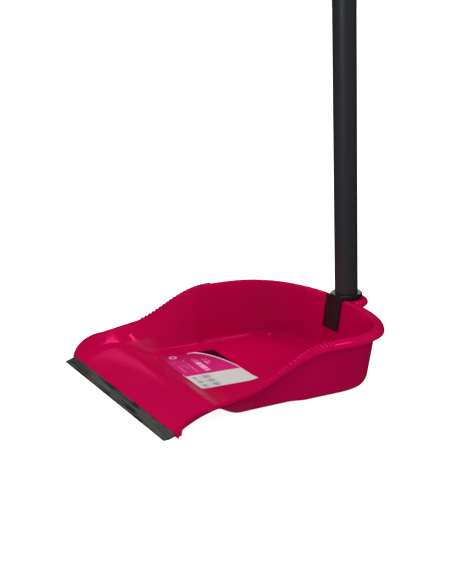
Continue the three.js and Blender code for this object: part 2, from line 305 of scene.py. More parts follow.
# the moulded pan
panShape = {
    "wall": 2.4 * mm,
    "lipWidth": 250 * mm,
    "frontEdge": 11.55 * mm,              # behind the lip's front edge
    "frontInset": 3.5 * mm,               # from the lip's end in to the floor's corner
    "frontBead": 0.6 * mm,                # extra thickness of the front edge
    "beadFades": (15 * mm, 8 * mm),       # from here, over this length
    "edgeHeight": 4.7 * mm,
    "crestAt": 58 * mm,
    "crestHeight": 15 * mm,
    "rampEnd": 92 * mm,
    "floorStep": 4 * mm,                  # the floor widens by this much either side
    "widenStart": 146 * mm,
    "widenLength": 18 * mm,
    "sideFillet": 10 * mm,                # outside; the inside bend is tighter
    "rearFillet": 16 * mm,
    "innerShare": 0.5,
    "bendShare": 0.42,                    # the most of a wall that a bend may take
    "earLength": 34 * mm,                 # the rounded front end of the low wall
    "earTip": 1 * mm,
    "earNose": 0.6 * mm,
    "lowWall": 26 * mm,
    "lowSlope": 0.16,
    "climbStart": 86 * mm,
    "climbLength": 90 * mm,
    "rimHeight": 64.5 * mm,
    "rimRoll": 1.2 * mm,                  # from the wall's top up to the rim's crest
    "rimDrop": (2.6 * mm, 6 * mm, 7.6 * mm),      # how deep the rim hangs: front, corner and rear
    "rimWidensFrom": 70 * mm,
    "skirt": 1.9 * mm,                    # thickness of the rim's outer edge
    "frontCrest": 129.3 * mm,
    "frontOverhang": 1.9 * mm,
    "cornerStart": 190 * mm,
    "rearFloor": (105 * mm, 68 * mm, 3.4),        # a rear corner: across, back, roundness
    "rearCrest": (121.5 * mm, 77 * mm, 2.75),
    "rearRim": (134.5 * mm, 95 * mm, 2.3),
    "toothCount": 20,
    "toothSpan": (94 * mm, 177 * mm),
    "toothHeight": 1.2 * mm,
    "toothHalf": 0.3,                     # half a tooth and its flank, as shares of the pitch
    "toothFlank": 0.12,
    "toothSteps": 10,
    "earSteps": 26,
    "sideSteps": 22,                      # from the ear to the teeth
    "rearSteps": 4,                       # from the teeth to the corner
    "cornerSteps": 56,
    "footInset": 4.2 * mm,
    "footBack": 17.6 * mm,
    "gateBack": 150 * mm,
    "bossRadius": 17 * mm,
    "bossFlange": 23.8 * mm,
    "stemRadius": 12.9 * mm,
    "stemDepth": 39 * mm,
}
rearFloor, rearCrest, rearRim = panShape["rearFloor"], panShape["rearCrest"], panShape["rearRim"]

# the handle's axis leaves the rim at this point and leans towards the lip
leanAxis = Vector(frame["joints"][0]["axis"]).normalized()
lean = math.atan2(-leanAxis.y, leanAxis.z)
tubeRadius = tubeHigh.x
tubeFoot = Vector((0, tubeHigh.y - tubeRadius * math.cos(lean), tubeLow.z + tubeRadius * math.sin(lean)))
rimPoint = tubeFoot - leanAxis * ((tubeFoot.z - panShape["rimHeight"]) / leanAxis.z)
onHandle = Matrix.Translation(rimPoint) @ Matrix.Rotation(lean, 4, "X")


def floorHeight(y):
    p = panShape
    if y < p["crestAt"]:
        t = (y - p["frontEdge"]) / (p["crestAt"] - p["frontEdge"])
        return mix(p["edgeHeight"], p["crestHeight"], math.sin(t * math.pi / 2))
    t = min(1, (y - p["crestAt"]) / (p["rampEnd"] - p["crestAt"]))
    return mix(p["wall"], p["crestHeight"], 0.5 + 0.5 * math.cos(t * math.pi))


def floorHalfWidth(y):
    p = panShape
    narrowing = smoothStep((y - p["frontEdge"]) / (p["rampEnd"] - p["frontEdge"]))
    widening = smoothStep((y - p["widenStart"]) / p["widenLength"])
    basin = rearFloor[0] - p["floorStep"]
    return mix(p["lipWidth"] / 2 - p["frontInset"], basin, narrowing) + p["floorStep"] * widening


def towardRear(y):
    start = panShape["rimWidensFrom"]
    return smoothStep((y - start) / (panShape["cornerStart"] - start))


def wallTop(y):
    p = panShape
    earEnd = p["frontEdge"] + p["earLength"]
    if y < earEnd:
        t = (earEnd - y) / (p["earLength"] + p["earNose"])
        return mix(p["earTip"], p["lowWall"], math.sqrt(1 - t * t))
    line = p["lowWall"] + p["lowSlope"] * (y - earEnd)
    return mix(line, p["rimHeight"], smoothStep((y - p["climbStart"]) / p["climbLength"]))


def wallThickness(y):
    start, length = panShape["beadFades"]
    return panShape["wall"] + panShape["frontBead"] * (1 - smoothStep((y - start) / length))


def roundCorner(shape, angle):
    across, back, power = shape
    return Vector((across * math.cos(angle) ** (2 / power),
                   panShape["cornerStart"] + back * math.sin(angle) ** (2 / power), 0))


def toothPitch():
    first, last = panShape["toothSpan"]
    return (last - first) / (panShape["toothCount"] - 1)


def toothLift(y):
    p = panShape
    first, last = p["toothSpan"]
    pitch = toothPitch()
    if not first - pitch / 2 < y < last + pitch / 2:
        return 0
    phase = (y - first) / pitch
    return p["toothHeight"] * smoothStep((p["toothHalf"] - abs(phase - round(phase))) / p["toothFlank"])


def sideStation(y):
    front, corner, _ = panShape["rimDrop"]
    crest = Vector((mix(panShape["frontCrest"], rearCrest[0], towardRear(y)), y, 0))
    overhang = mix(panShape["frontOverhang"], rearRim[0] - rearCrest[0], towardRear(y))
    return {
        "spine": Vector((0, y, 0)),
        "floor": Vector((floorHalfWidth(y), y, 0)),
        "crest": crest,
        "rim": crest + Vector((overhang, 0, 0)),
        "outward": Vector((1, 0, 0)),
        "floorZ": floorHeight(y),
        "topZ": wallTop(y),
        "thick": wallThickness(y),
        "drop": mix(front, corner, towardRear(y)),
        "fillet": panShape["sideFillet"],
        "lift": toothLift(y),
    }


def rearStation(angle):
    across, back, power = rearCrest
    _, corner, rear = panShape["rimDrop"]
    outward = Vector((math.cos(angle) ** (2 - 2 / power) / across,
                      math.sin(angle) ** (2 - 2 / power) / back, 0))
    return {
        "spine": Vector((0, panShape["cornerStart"], 0)),
        "floor": roundCorner(rearFloor, angle),
        "crest": roundCorner(rearCrest, angle),
        "rim": roundCorner(rearRim, angle),
        "outward": outward.normalized(),
        "floorZ": panShape["wall"],
        "topZ": panShape["rimHeight"],
        "thick": panShape["wall"],
        "drop": mix(corner, rear, smoothStep(angle / (math.pi / 4))),
        "fillet": mix(panShape["sideFillet"], panShape["rearFillet"], smoothStep(angle / (math.pi / 2))),
        "lift": 0,
    }


def wallPoints(s):
    # the edge of the floor, its middle and the wall's top at one station
    foot, spine = s["floor"] + up * s["floorZ"], s["spine"] + up * s["floorZ"]
    return foot, spine, s["crest"] + up * (s["topZ"] - panShape["rimRoll"])


def innerSide(s):
    # along the floor, round the bend and up the inner wall
    foot, spine, top = wallPoints(s)
    rise, inward = (top - foot).normalized(), (spine - foot).normalized()
    reach = min(s["fillet"] * panShape["innerShare"], (top - foot).length * panShape["bendShare"])
    line = [spine.lerp(foot + inward * reach, t) for t in spread(0, 1, 8)]
    line += bend(foot + inward * reach, foot, foot + rise * reach, 12)
    return line + [(foot + rise * reach).lerp(top, t) for t in spread(0, 1, 8)][1:]


def rolledRim(s):
    # over the rim's crest and down to its outer edge; the teeth stand on its flat
    side, drop = s["rim"] - s["crest"], s["drop"]

    def over(share, z):
        lift = s["lift"] * smoothStep((share - 0.02) / 0.14) * smoothStep((0.86 - share) / 0.3)
        return s["crest"] + side * share + up * (s["topZ"] + z + lift)

    return smoothLine([wallPoints(s)[2], over(0.04, -0.55 * mm), over(0.12, -0.16 * mm), over(0.24, 0),
                       over(0.46, -0.09 * drop), over(0.7, -0.28 * drop), over(0.9, -0.58 * drop),
                       over(0.985, -0.86 * drop), over(1, -drop)], 3)


def rimUnderside(s, outerTop, skirt, hollow):
    side, drop, thick = s["rim"] - s["crest"], s["drop"], s["thick"]
    width = side.length

    def under(offset, z):
        return s["crest"] + side * (offset / width) + up * (s["topZ"] - z)

    return smoothLine([under(mix(width, skirt, 0.5), drop + mix(0.12 * mm, 0.38 * mm, hollow)),
                       under(skirt, drop + mix(0.25 * mm, 0.05 * mm, hollow)),
                       under(mix(skirt, thick, 0.12), mix(drop + 0.4 * mm, 0.62 * drop + 1 * mm, hollow)),
                       under(max(thick, 0.72 * skirt), mix(drop + 0.6 * mm, 0.42 * drop + 1.9 * mm, hollow)),
                       outerTop], 3)


def outerSide(s):
    # under the rim, down the outer wall, round the bend and back along the underside
    foot, spine, _ = wallPoints(s)
    inward = (spine - foot).normalized()
    thick, drop = s["thick"], s["drop"]
    # where the rim stands out far enough, its underside is hollow behind a skirt
    skirt = (s["rim"] - s["crest"]).length - panShape["skirt"]
    hollow = smoothStep((skirt - thick) / (2.5 * mm))
    outerFoot = foot + s["outward"] * thick - up * thick
    outerTop = s["crest"] + s["outward"] * thick
    outerTop += up * (s["topZ"] - mix(drop + 0.9 * mm, 0.25 * drop + 2.6 * mm, hollow))
    slope = (outerTop - outerFoot).normalized()
    reach = min(s["fillet"] - 1 * mm, (outerTop - outerFoot).length * panShape["bendShare"])
    line = rimUnderside(s, outerTop, max(thick, skirt), hollow)
    line += [outerTop.lerp(outerFoot + slope * reach, t) for t in spread(0, 1, 9)][1:]
    line += bend(outerFoot + slope * reach, outerFoot, outerFoot + inward * reach, 8)
    line += [(outerFoot + inward * reach).lerp(spine - up * thick, t) for t in spread(0, 1, 6)][1:]
    return line + [spine - up * thick]


def panStations():
    p = panShape
    first, last = p["toothSpan"]
    halfPitch = toothPitch() / 2
    earEnd = p["frontEdge"] + p["earLength"]
    # closer together towards the ear's tip
    places = [p["frontEdge"] + p["earLength"] * t ** 1.8 for t in spread(0, 1, p["earSteps"])]
    places += spread(earEnd, first - halfPitch, p["sideSteps"])
    places += spread(first - halfPitch, last + halfPitch, p["toothCount"] * p["toothSteps"])
    places += spread(last + halfPitch, p["cornerStart"], p["rearSteps"])
    steps = p["cornerSteps"]
    corner = [rearStation(math.pi / 2 * i / steps) for i in range(steps + 1)]
    return [sideStation(y) for y in places] + corner


def panShell():
    right = [innerSide(s) + rolledRim(s) + outerSide(s) for s in panStations()]
    for point in right[-1]:
        point.x = 0
    left = [[Vector((-q.x, q.y, q.z)) for q in ring] for ring in reversed(right[:-1])]
    rings = right + left
    count = len(rings[0])
    points = [Vector((q.x, q.y + lipFront, q.z)) for ring in rings for q in ring]
    faces = ringFaces(len(rings), count) + endCaps(len(rings), count)
    return meshFrom("panMoulding", points, faces, 0.0001 * mm)


def socketBoss():
    # the cupped boss behind the rear wall, cut away where it would stand inside the pan
    p = panShape
    flange, radius, bottom = p["bossFlange"], p["bossRadius"], -p["stemDepth"] - 4 * mm
    profile = [(0, bottom), (radius - 1 * mm, bottom), (radius, bottom + 1.5 * mm), (radius, -11 * mm),
               (flange - 1.2 * mm, -8.2 * mm), (flange, -6.6 * mm), (flange - 0.5 * mm, -3.4 * mm),
               (flange - 2.6 * mm, -1.5 * mm), (flange - 5.5 * mm, -0.8 * mm), (0, -0.8 * mm)]
    boss = turned("boss", rounded(profile, 2 * mm), onHandle)
    middle = lipFront + p["cornerStart"] + p["wall"] / 2
    bottomY, topY = middle + rearFloor[1], middle + rearCrest[1]
    front, high = bottomY - 40 * mm, p["rimHeight"] + 20 * mm
    section = [(front, 0), (bottomY, 0), (topY, p["rimHeight"]), (topY, high), (front, high)]
    shapeWith(boss, barAlongX("inside", section, 40 * mm), "DIFFERENCE")
    return boss


def socketHole():
    radius = panShape["stemRadius"] + 0.35 * mm
    depth = panShape["stemDepth"] + 0.6 * mm
    profile = [(0, -depth), (radius, -depth), (radius, -1.6 * mm), (radius + 0.5 * mm, -0.9 * mm),
               (radius + 0.9 * mm, -0.2 * mm), (radius + 0.9 * mm, 12 * mm), (0, 12 * mm)]
    return turned("hole", profile, onHandle)


def frontFoot(side):
    across = side * (panShape["lipWidth"] / 2 - panShape["footInset"])
    centre = Matrix.Translation((across, lipFront + panShape["footBack"], 0))
    profile = rounded([(0, 0), (2.3 * mm, 0), (2.9 * mm, 5 * mm), (0, 5 * mm)], 0.5 * mm)
    return turned("foot", profile, centre, 40)


def gateMark():
    # the shallow dimple with a nub that the moulding gate leaves under the basin
    centre = Matrix.Translation((0, lipFront + panShape["gateBack"], 0))
    profile = [(0, -1 * mm), (5 * mm, -1 * mm), (4.6 * mm, 0.5 * mm), (1.4 * mm, 0.55 * mm),
               (1.1 * mm, 0.15 * mm), (0, 0.12 * mm)]
    return turned("gate", profile, centre, 48)


def makePan():
    pan = panShell()
    for side in (-1, 1):
        shapeWith(pan, frontFoot(side), "UNION")
    shapeWith(pan, socketBoss(), "UNION")
    shapeWith(pan, socketHole(), "DIFFERENCE")
    shapeWith(pan, lipSlot(), "DIFFERENCE")
    shapeWith(pan, gateMark(), "DIFFERENCE")
    return finishPiece(pan, "pan", "pan_body")


crimsonLook = {
    "colour": (0.40, 0.0, 0.051),
    "paler": (0.45, 0.0, 0.059),
    "cloudScale": 14,
    "roughness": (0.09, 0.13),
    "roughnessScale": 38,
    "scuffEdges": ((58 * mm, 68 * mm), (104 * mm, 92 * mm)),
    "scuffHeight": (14 * mm, 17 * mm),
    "scuffRoughness": 0.2,
    "peelDepth": 0.003 * mm,
    "peelScale": 420,
    "tint": (1, 0.45, 0.62, 1),
}


def crimsonPlastic():
    p = crimsonLook
    material, tree, shader = newMaterial("glossyCrimson")
    cloudy = noiseAt(tree, objectPlace(tree), p["cloudScale"], 3)
    colour = blendColours(tree, ranged(tree, cloudy, 0, 1), p["colour"], p["paler"])
    tree.links.new(colour, shader.inputs["Base Color"])
    gloss = ranged(tree, noiseAt(tree, objectPlace(tree), p["roughnessScale"], 3), *p["roughness"])
    # the foot of the ramp is scuffed by what is swept over it
    split = tree.nodes.new("ShaderNodeSeparateXYZ")
    tree.links.new(objectPlace(tree), split.inputs["Vector"])
    scuffed = ranged(tree, split.outputs["Z"], 1, 0, *p["scuffHeight"])
    for onset, end in p["scuffEdges"]:
        scuffed = calc(tree, "MULTIPLY", scuffed,
                       ranged(tree, split.outputs["Y"], 0, 1, lipFront + onset, lipFront + end))
    rough = calc(tree, "ADD", gloss, calc(tree, "MULTIPLY", scuffed, p["scuffRoughness"]))
    tree.links.new(rough, shader.inputs["Roughness"])
    addBump(tree, shader, noiseAt(tree, objectPlace(tree), p["peelScale"], 2), p["peelDepth"])
    setSockets(shader, {"IOR": 1.45, "Specular IOR Level": 0.5, "Specular Tint": p["tint"]})
    return material


# the rubber lip and the slot that holds its root
lipShape = {
    "halfWidth": 125 * mm,
    "depth": 11.2 * mm,
    "topRear": 4.6 * mm,
    "nose": 0.9 * mm,
    "rootReach": 3.4 * mm,
    "rootHeight": 3.3 * mm,               # middle of the root where it leaves the blade
    "rootThick": 0.84 * mm,
    "rootHalf": 117.5 * mm,
    "slotThick": 1.5 * mm,
    "ridges": 3,
    "ridgeDepth": 0.16 * mm,
    "steps": 120,
}


def lipSlope():
    return (lipShape["topRear"] - lipShape["nose"]) / lipShape["depth"]


def rootBar(name, reach, thick, halfLength):
    # a thin bar back from inside the blade, along the slope of the blade's top
    start, end = lipShape["depth"] - 2 * mm, lipShape["depth"] + reach
    section = []
    for y, side in ((start, -1), (end, -1), (end, 1), (start, 1)):
        middle = lipShape["rootHeight"] + lipSlope() * (y - lipShape["depth"])
        section.append((y + lipFront, middle + side * thick / 2))
    return barAlongX(name, section, halfLength)


def lipSlot():
    p = lipShape
    return rootBar("slot", p["rootReach"] + 0.4 * mm, p["slotThick"], p["rootHalf"] + 0.5 * mm)


def lipSection():
    # the blade's ridged top from the rear to the nose, then its underside
    p = lipShape
    top = []
    for t in spread(0, 1, 40):
        y = mix(p["depth"], 0.3 * mm, t)
        groove = p["ridgeDepth"] * (0.5 - 0.5 * math.cos(2 * math.pi * p["ridges"] * t))
        height = p["nose"] + lipSlope() * y - groove * math.sin(t * math.pi)
        top.append((y, height - 0.12 * mm * (1 - lipSlope())))
    bottom = [(0.1 * mm, 0.55 * mm), (0, 0.05 * mm), (0.35 * mm, 0), (5.2 * mm, 0), (p["depth"], 2 * mm)]
    return [(y + lipFront, z) for y, z in top + bottom]


def makeLip():
    p = lipShape
    lip = barAlongX("lipBlade", lipSection(), p["halfWidth"], p["steps"])
    shapeWith(lip, rootBar("root", p["rootReach"], p["rootThick"], p["rootHalf"]), "UNION")
    return finishPiece(lip, "rubber_lip", "pan_body", 40)


rubberLook = {
    "dark": (0.009, 0.0095, 0.0085),
    "pale": (0.06, 0.062, 0.055),
    "roughness": (0.42, 0.62),
    "streakScale": 900,
    "streakShare": 0.75,
    "patchScale": 90,
    "patchShare": 0.3,
    "contrast": (0.455, 0.57),
    "streakDepth": 0.05 * mm,
}


def streakedRubber():
    p = rubberLook
    material, tree, shader = newMaterial("streakedRubber")
    streaks = noiseAt(tree, objectPlace(tree, (0.02, 1, 1)), p["streakScale"], 3, 0.6)
    patches = noiseAt(tree, objectPlace(tree, (0.4, 1, 1)), p["patchScale"], 3)
    mixed = calc(tree, "ADD", calc(tree, "MULTIPLY", streaks, p["streakShare"]),
                 calc(tree, "MULTIPLY", patches, p["patchShare"]))
    colour = blendColours(tree, ranged(tree, mixed, 0, 1, *p["contrast"]), p["dark"], p["pale"])
    tree.links.new(colour, shader.inputs["Base Color"])
    tree.links.new(ranged(tree, streaks, *p["roughness"]), shader.inputs["Roughness"])
    addBump(tree, shader, streaks, p["streakDepth"])
    setSockets(shader, {"Specular IOR Level": 0.4})
    return material


# the label stuck to the basin floor
labelShape = {
    "width": 109 * mm,
    "depth": 65 * mm,
    "turn": math.radians(-2.5),           # stuck on a little askew
    "thickness": 0.22 * mm,
    "columns": 84,
    "rows": 52,
    "lift": 0.12 * mm,                    # height over the floor, with faint waves
    "wave": 0.08 * mm,
    "waveNumbers": (90, 55, 120),
    "curl": 1.2 * mm,                     # rise of the rear right corner
}
labelMiddle = (labelLow + labelHigh) / 2


def labelPoint(u, v):
    # a point on the label's underside, which follows the floor
    p = labelShape
    onLabel = Matrix.Translation((labelMiddle.x, labelMiddle.y, 0)) @ Matrix.Rotation(p["turn"], 4, "Z")
    point = onLabel @ Vector(((u - 0.5) * p["width"], (v - 0.5) * p["depth"], 0))
    a, b, c = p["waveNumbers"]
    wave = p["wave"] * (1 + math.sin(point.x * a + point.y * b) * math.cos(point.y * c))
    curl = p["curl"] * smoothStep((u + v - 1.8) / 0.2) ** 2
    point.z = floorHeight(point.y - lipFront) + p["lift"] + wave + curl
    return point


def labelFaces(columns, rows):
    across = columns + 1
    below = across * (rows + 1)           # the lower layer's points come after the upper layer's
    faces = []
    for j in range(rows):
        for i in range(columns):
            a = j * across + i
            b = a + below
            faces.append((a, a + 1, a + 1 + across, a + across))
            faces.append((b, b + across, b + across + 1, b + 1))
    # the two layers are joined all round the edge
    edge = list(range(across)) + [j * across + columns for j in range(1, rows + 1)]
    edge += [rows * across + i for i in range(columns - 1, -1, -1)]
    edge += [j * across for j in range(rows - 1, 0, -1)]
    for a, b in zip(edge, edge[1:] + edge[:1]):
        faces.append((a, a + below, b + below, b))
    return faces


def makeLabel():
    columns, rows = labelShape["columns"], labelShape["rows"]
    lower = [labelPoint(i / columns, j / rows) for j in range(rows + 1) for i in range(columns + 1)]
    upper = [point + up * labelShape["thickness"] for point in lower]
    label = meshFrom("floorLabel", upper + lower, labelFaces(columns, rows))
    return finishPiece(label, "floor_label", "pan_body", 50)


labelPrint = {                            # places are measured from the front left corner
    "magenta": (0.66, 0.010, 0.19),
    "magentaLeft": (0.45, 0.001, 0.08),
    "fadeLength": 55 * mm,
    "white": (0.67, 0.665, 0.665),
    "black": (0.010, 0.003, 0.006),
    "ink": (0.92, 0.36, 0.55),
    "grey": (0.33, 0.36, 0.35),
    "arcColour": (0.8, 0.6, 0.68),
    "bandStart": 69 * mm,
    "blackEnd": 68 * mm,
    "arcCentre": (104 * mm, 34.5 * mm),
    "arcAcross": 106 * mm,
    "arcDeep": 33 * mm,
    "arcLine": (0.93, 1.03),
    "ring": (6.5 * mm, 13.2 * mm),
    "ringRadius": 4.5 * mm,
    "ringLine": (0.35, 1),
    "bars": (                             # (from, to), (from, to) in millimetres, strength
        ((21, 66), (27.5, 34), 1.0), ((22, 42), (38.6, 40.8), 0.8), ((24, 38), (43, 44.6), 0.7),
        ((17, 60), (18.2, 19.6), 0.6), ((17, 47), (13.6, 14.8), 0.5), ((17, 40), (10, 11), 0.5),
        ((17, 56), (6.4, 7.6), 0.5), ((17, 34), (3, 4), 0.45),
    ),
    "greyGroups": (73, 85, 97),           # left edges of the grey bar groups, in millimetres
    "greyWidth": 9,
    "greyDepth": (5, 25),
    "roughness": (0.3, 0.42),
    "wearScale": 60,
    "wrinkleScale": 70,
    "wrinkleDepth": 0.1 * mm,
}


def between(tree, value, low, high):
    # 1 between two values and 0 outside them
    above = calc(tree, "GREATER_THAN", value, low)
    return calc(tree, "MULTIPLY", above, calc(tree, "LESS_THAN", value, high))


def insideBox(tree, x, y, xRange, yRange):
    return calc(tree, "MULTIPLY", between(tree, x, *xRange), between(tree, y, *yRange))


def squareDistance(tree, x, y, centre, across, deep):
    dx = calc(tree, "DIVIDE", calc(tree, "SUBTRACT", x, centre[0]), across)
    dy = calc(tree, "DIVIDE", calc(tree, "SUBTRACT", y, centre[1]), deep)
    return calc(tree, "ADD", calc(tree, "MULTIPLY", dx, dx), calc(tree, "MULTIPLY", dy, dy))


def labelCoordinates(tree):
    # distances from the label's front left corner, along its own edges
    place = tree.nodes.new("ShaderNodeTexCoord")
    turn = tree.nodes.new("ShaderNodeMapping")
    turn.vector_type = "TEXTURE"
    turn.inputs["Location"].default_value = (labelMiddle.x, labelMiddle.y, 0)
    turn.inputs["Rotation"].default_value = (0, 0, labelShape["turn"])
    tree.links.new(place.outputs["Object"], turn.inputs["Vector"])
    split = tree.nodes.new("ShaderNodeSeparateXYZ")
    tree.links.new(turn.outputs["Vector"], split.inputs["Vector"])
    x = calc(tree, "ADD", split.outputs["X"], labelShape["width"] / 2)
    return x, calc(tree, "ADD", split.outputs["Y"], labelShape["depth"] / 2)


def printedPanel(tree, x, y):
    # the magenta area with plain broken bars for lines of print and a plain ring
    p = labelPrint
    fade = ranged(tree, x, 0, 1, 0, p["fadeLength"])
    colour = blendColours(tree, fade, p["magentaLeft"], p["magenta"])
    for xRange, yRange, strength in p["bars"]:
        box = insideBox(tree, x, y, [v * mm for v in xRange], [v * mm for v in yRange])
        words = ranged(tree, noiseAt(tree, objectPlace(tree, (1, 0.02, 1)), 300, 1), 0, strength, 0.44, 0.5)
        colour = blendColours(tree, calc(tree, "MULTIPLY", box, words), colour, p["ink"])
    ringAway = squareDistance(tree, x, y, p["ring"], p["ringRadius"], p["ringRadius"])
    return blendColours(tree, between(tree, ringAway, *p["ringLine"]), colour, p["ink"])


def whiteBand(tree, x, y, colour):
    # the white band with its groups of plain grey bars
    p = labelPrint
    colour = blendColours(tree, calc(tree, "GREATER_THAN", x, p["bandStart"]), colour, p["white"])
    stripes = calc(tree, "GREATER_THAN", noiseAt(tree, objectPlace(tree, (0.001, 1, 1)), 900, 0), 0.5)
    for start in p["greyGroups"]:
        xRange = (start * mm, (start + p["greyWidth"]) * mm)
        box = insideBox(tree, x, y, xRange, [v * mm for v in p["greyDepth"]])
        colour = blendColours(tree, calc(tree, "MULTIPLY", box, stripes), colour, p["grey"])
    return colour


def blackCorner(tree, x, y, colour):
    # beyond the pale arc the rear left corner is black
    p = labelPrint
    away = squareDistance(tree, x, y, p["arcCentre"], p["arcAcross"], p["arcDeep"])
    beyond = calc(tree, "MULTIPLY", calc(tree, "GREATER_THAN", y, p["arcCentre"][1]),
                  calc(tree, "GREATER_THAN", away, 1))
    beyond = calc(tree, "MULTIPLY", beyond, calc(tree, "LESS_THAN", x, p["blackEnd"]))
    colour = blendColours(tree, beyond, colour, p["black"])
    line = calc(tree, "MULTIPLY", between(tree, away, *p["arcLine"]),
                calc(tree, "GREATER_THAN", y, p["arcCentre"][1] - 2 * mm))
    return blendColours(tree, line, colour, p["arcColour"])


def paleEdge(tree, x, y, colour):
    # the film's own edge shows round the white band
    width, depth = labelShape["width"], labelShape["depth"]
    middle = insideBox(tree, x, y, (0, width - 0.8 * mm), (0.7 * mm, depth - 0.7 * mm))
    edge = calc(tree, "MULTIPLY", calc(tree, "SUBTRACT", 1.0, middle),
                calc(tree, "GREATER_THAN", x, labelPrint["bandStart"] - 6 * mm))
    return blendColours(tree, edge, colour, labelPrint["white"])


def printedFilm():
    p = labelPrint
    material, tree, shader = newMaterial("printedFilm")
    x, y = labelCoordinates(tree)
    colour = whiteBand(tree, x, y, printedPanel(tree, x, y))
    colour = paleEdge(tree, x, y, blackCorner(tree, x, y, colour))
    tree.links.new(colour, shader.inputs["Base Color"])
    worn = noiseAt(tree, objectPlace(tree), p["wearScale"], 2)
    tree.links.new(ranged(tree, worn, *p["roughness"]), shader.inputs["Roughness"])
    wrinkles = noiseAt(tree, objectPlace(tree, (1, 0.6, 1)), p["wrinkleScale"], 3)
    addBump(tree, shader, wrinkles, p["wrinkleDepth"])
    setSockets(shader, {"Specular IOR Level": 0.4, "Coat Weight": 0.2, "Coat Roughness": 0.2})
    return material


# the black fitting over the rim; its stem goes down the pan's socket
fittingShape = {
    "collarRadius": 17.5 * mm,
    "collarBase": 0.6 * mm,
    "collarRim": 5.3 * mm,
    "spigotRadius": 11.7 * mm,
    "spigotTop": 44 * mm,
    "strapHalf": 13.5 * mm,
    "strapLow": 31 * mm,
    "strapThick": 2.6 * mm,
    "strapTop": 2.9 * mm,                 # over the rim's crest
    "gap": 0.35 * mm,
}
mouldingLook = {
    "dark": (0.006, 0.0055, 0.006),
    "pale": (0.01, 0.0095, 0.01),
    "roughness": (0.3, 0.4),
    "grainScale": 2400,
    "grainDepth": 0.02 * mm,
}


def wallLine(z):
    # the inner face of the rear wall at a height
    low, high = panShape["wall"], panShape["rimHeight"] - panShape["rimRoll"]
    back = mix(rearFloor[1], rearCrest[1], (z - low) / (high - low))
    return lipFront + panShape["cornerStart"] + back


def makeStrap():
    # over the rim and down the inner face of the rear wall
    p = fittingShape
    rim, low, gap, thick = panShape["rimHeight"], p["strapLow"], p["gap"], p["strapThick"]
    crest = lipFront + panShape["cornerStart"] + rearCrest[1]
    rear = rimPoint.y - 6 * mm
    top = rim + p["strapTop"]
    foot = wallLine(low) - gap
    section = [(foot, low), (wallLine(rim - 1 * mm) - gap, rim - 1 * mm), (crest + 0.3 * mm, rim + gap),
               (rear, rim + 0.7 * mm), (rear, top), (crest - 1.4 * mm, top),
               (crest - 2.7 * mm, top - 0.9 * mm),
               (wallLine(low + 1 * mm) - gap - thick, low + 1.4 * mm), (foot - thick + 0.9 * mm, low)]
    strap = barAlongX("strap", section, p["strapHalf"])
    bevelEdges(strap, 0.45 * mm)
    return strap


def makeFitting():
    p = fittingShape
    stem, bottom = panShape["stemRadius"], -panShape["stemDepth"]
    collar, spigot = p["collarRadius"], p["spigotRadius"]
    profile = [(0, bottom), (stem - 1.5 * mm, bottom), (stem, bottom + 2.5 * mm), (stem, p["collarBase"]),
               (collar, p["collarBase"]), (collar, p["collarRim"]), (spigot, p["collarRim"]),
               (spigot, p["spigotTop"] - 2 * mm), (spigot - 2 * mm, p["spigotTop"]), (0, p["spigotTop"])]
    fitting = turned("handleFitting", rounded(profile, 1.3 * mm), onHandle)
    shapeWith(fitting, makeStrap(), "UNION")
    return finishPiece(fitting, "handle_fitting", "handle_body")


# the tube
tubeShape = {
    "wall": 0.6 * mm,
    "edge": 0.15 * mm,                    # broken edge at both ends
    "steps": 12,
}
coatingLook = {
    "dark": (0.0165, 0.0175, 0.0205),
    "pale": (0.02, 0.0215, 0.0245),
    "roughness": (0.34, 0.42),
    "grainScale": 700,
    "grainDepth": 0.012 * mm,
    "stretch": (1, 1, 0.05),              # drawn out along the tube
    "coat": 0.1,
}


def makeTube():
    p = tubeShape
    edge = p["edge"]
    outer, inner = tubeRadius, tubeRadius - p["wall"]
    low = (tubeFoot - rimPoint).length
    high = (tubeHigh.z - tubeRadius * math.sin(lean) - rimPoint.z) / math.cos(lean)
    profile = [(inner, low + edge), (inner + edge, low), (outer - edge, low), (outer, low + edge)]
    profile += [(outer, mix(low + edge, high - edge, t)) for t in spread(0, 1, p["steps"])[1:]]
    profile += [(outer, high - edge), (outer - edge, high), (inner + edge, high), (inner, high - edge),
                (inner, low + edge)]
    tube = turned("handleTube", profile, onHandle)
    return finishPiece(tube, "handle_tube", "handle_body", 40)


# the hand grip with its hanging eye
gripShape = {
    "length": 122 * mm,
    "radius": 15 * mm,
    "holeRadius": 6.5 * mm,
    "holeDown": 22 * mm,                  # from the top to the middle of the hanging eye
    "flatHalf": 6.5 * mm,                 # half the thickness of the flat round the eye
    "flatDown": 38 * mm,
    "sleeve": 62 * mm,                    # how far the grip reaches over the tube
    "ribs": 9,
    "ribStart": 16 * mm,
    "ribPitch": 5.5 * mm,
    "ribDepth": 0.5 * mm,
}
gripLook = {
    "dark": (0.016, 0.016, 0.017),
    "pale": (0.024, 0.024, 0.026),
    "roughness": (0.45, 0.6),
    "grainScale": 1500,
    "grainDepth": 0.05 * mm,
}


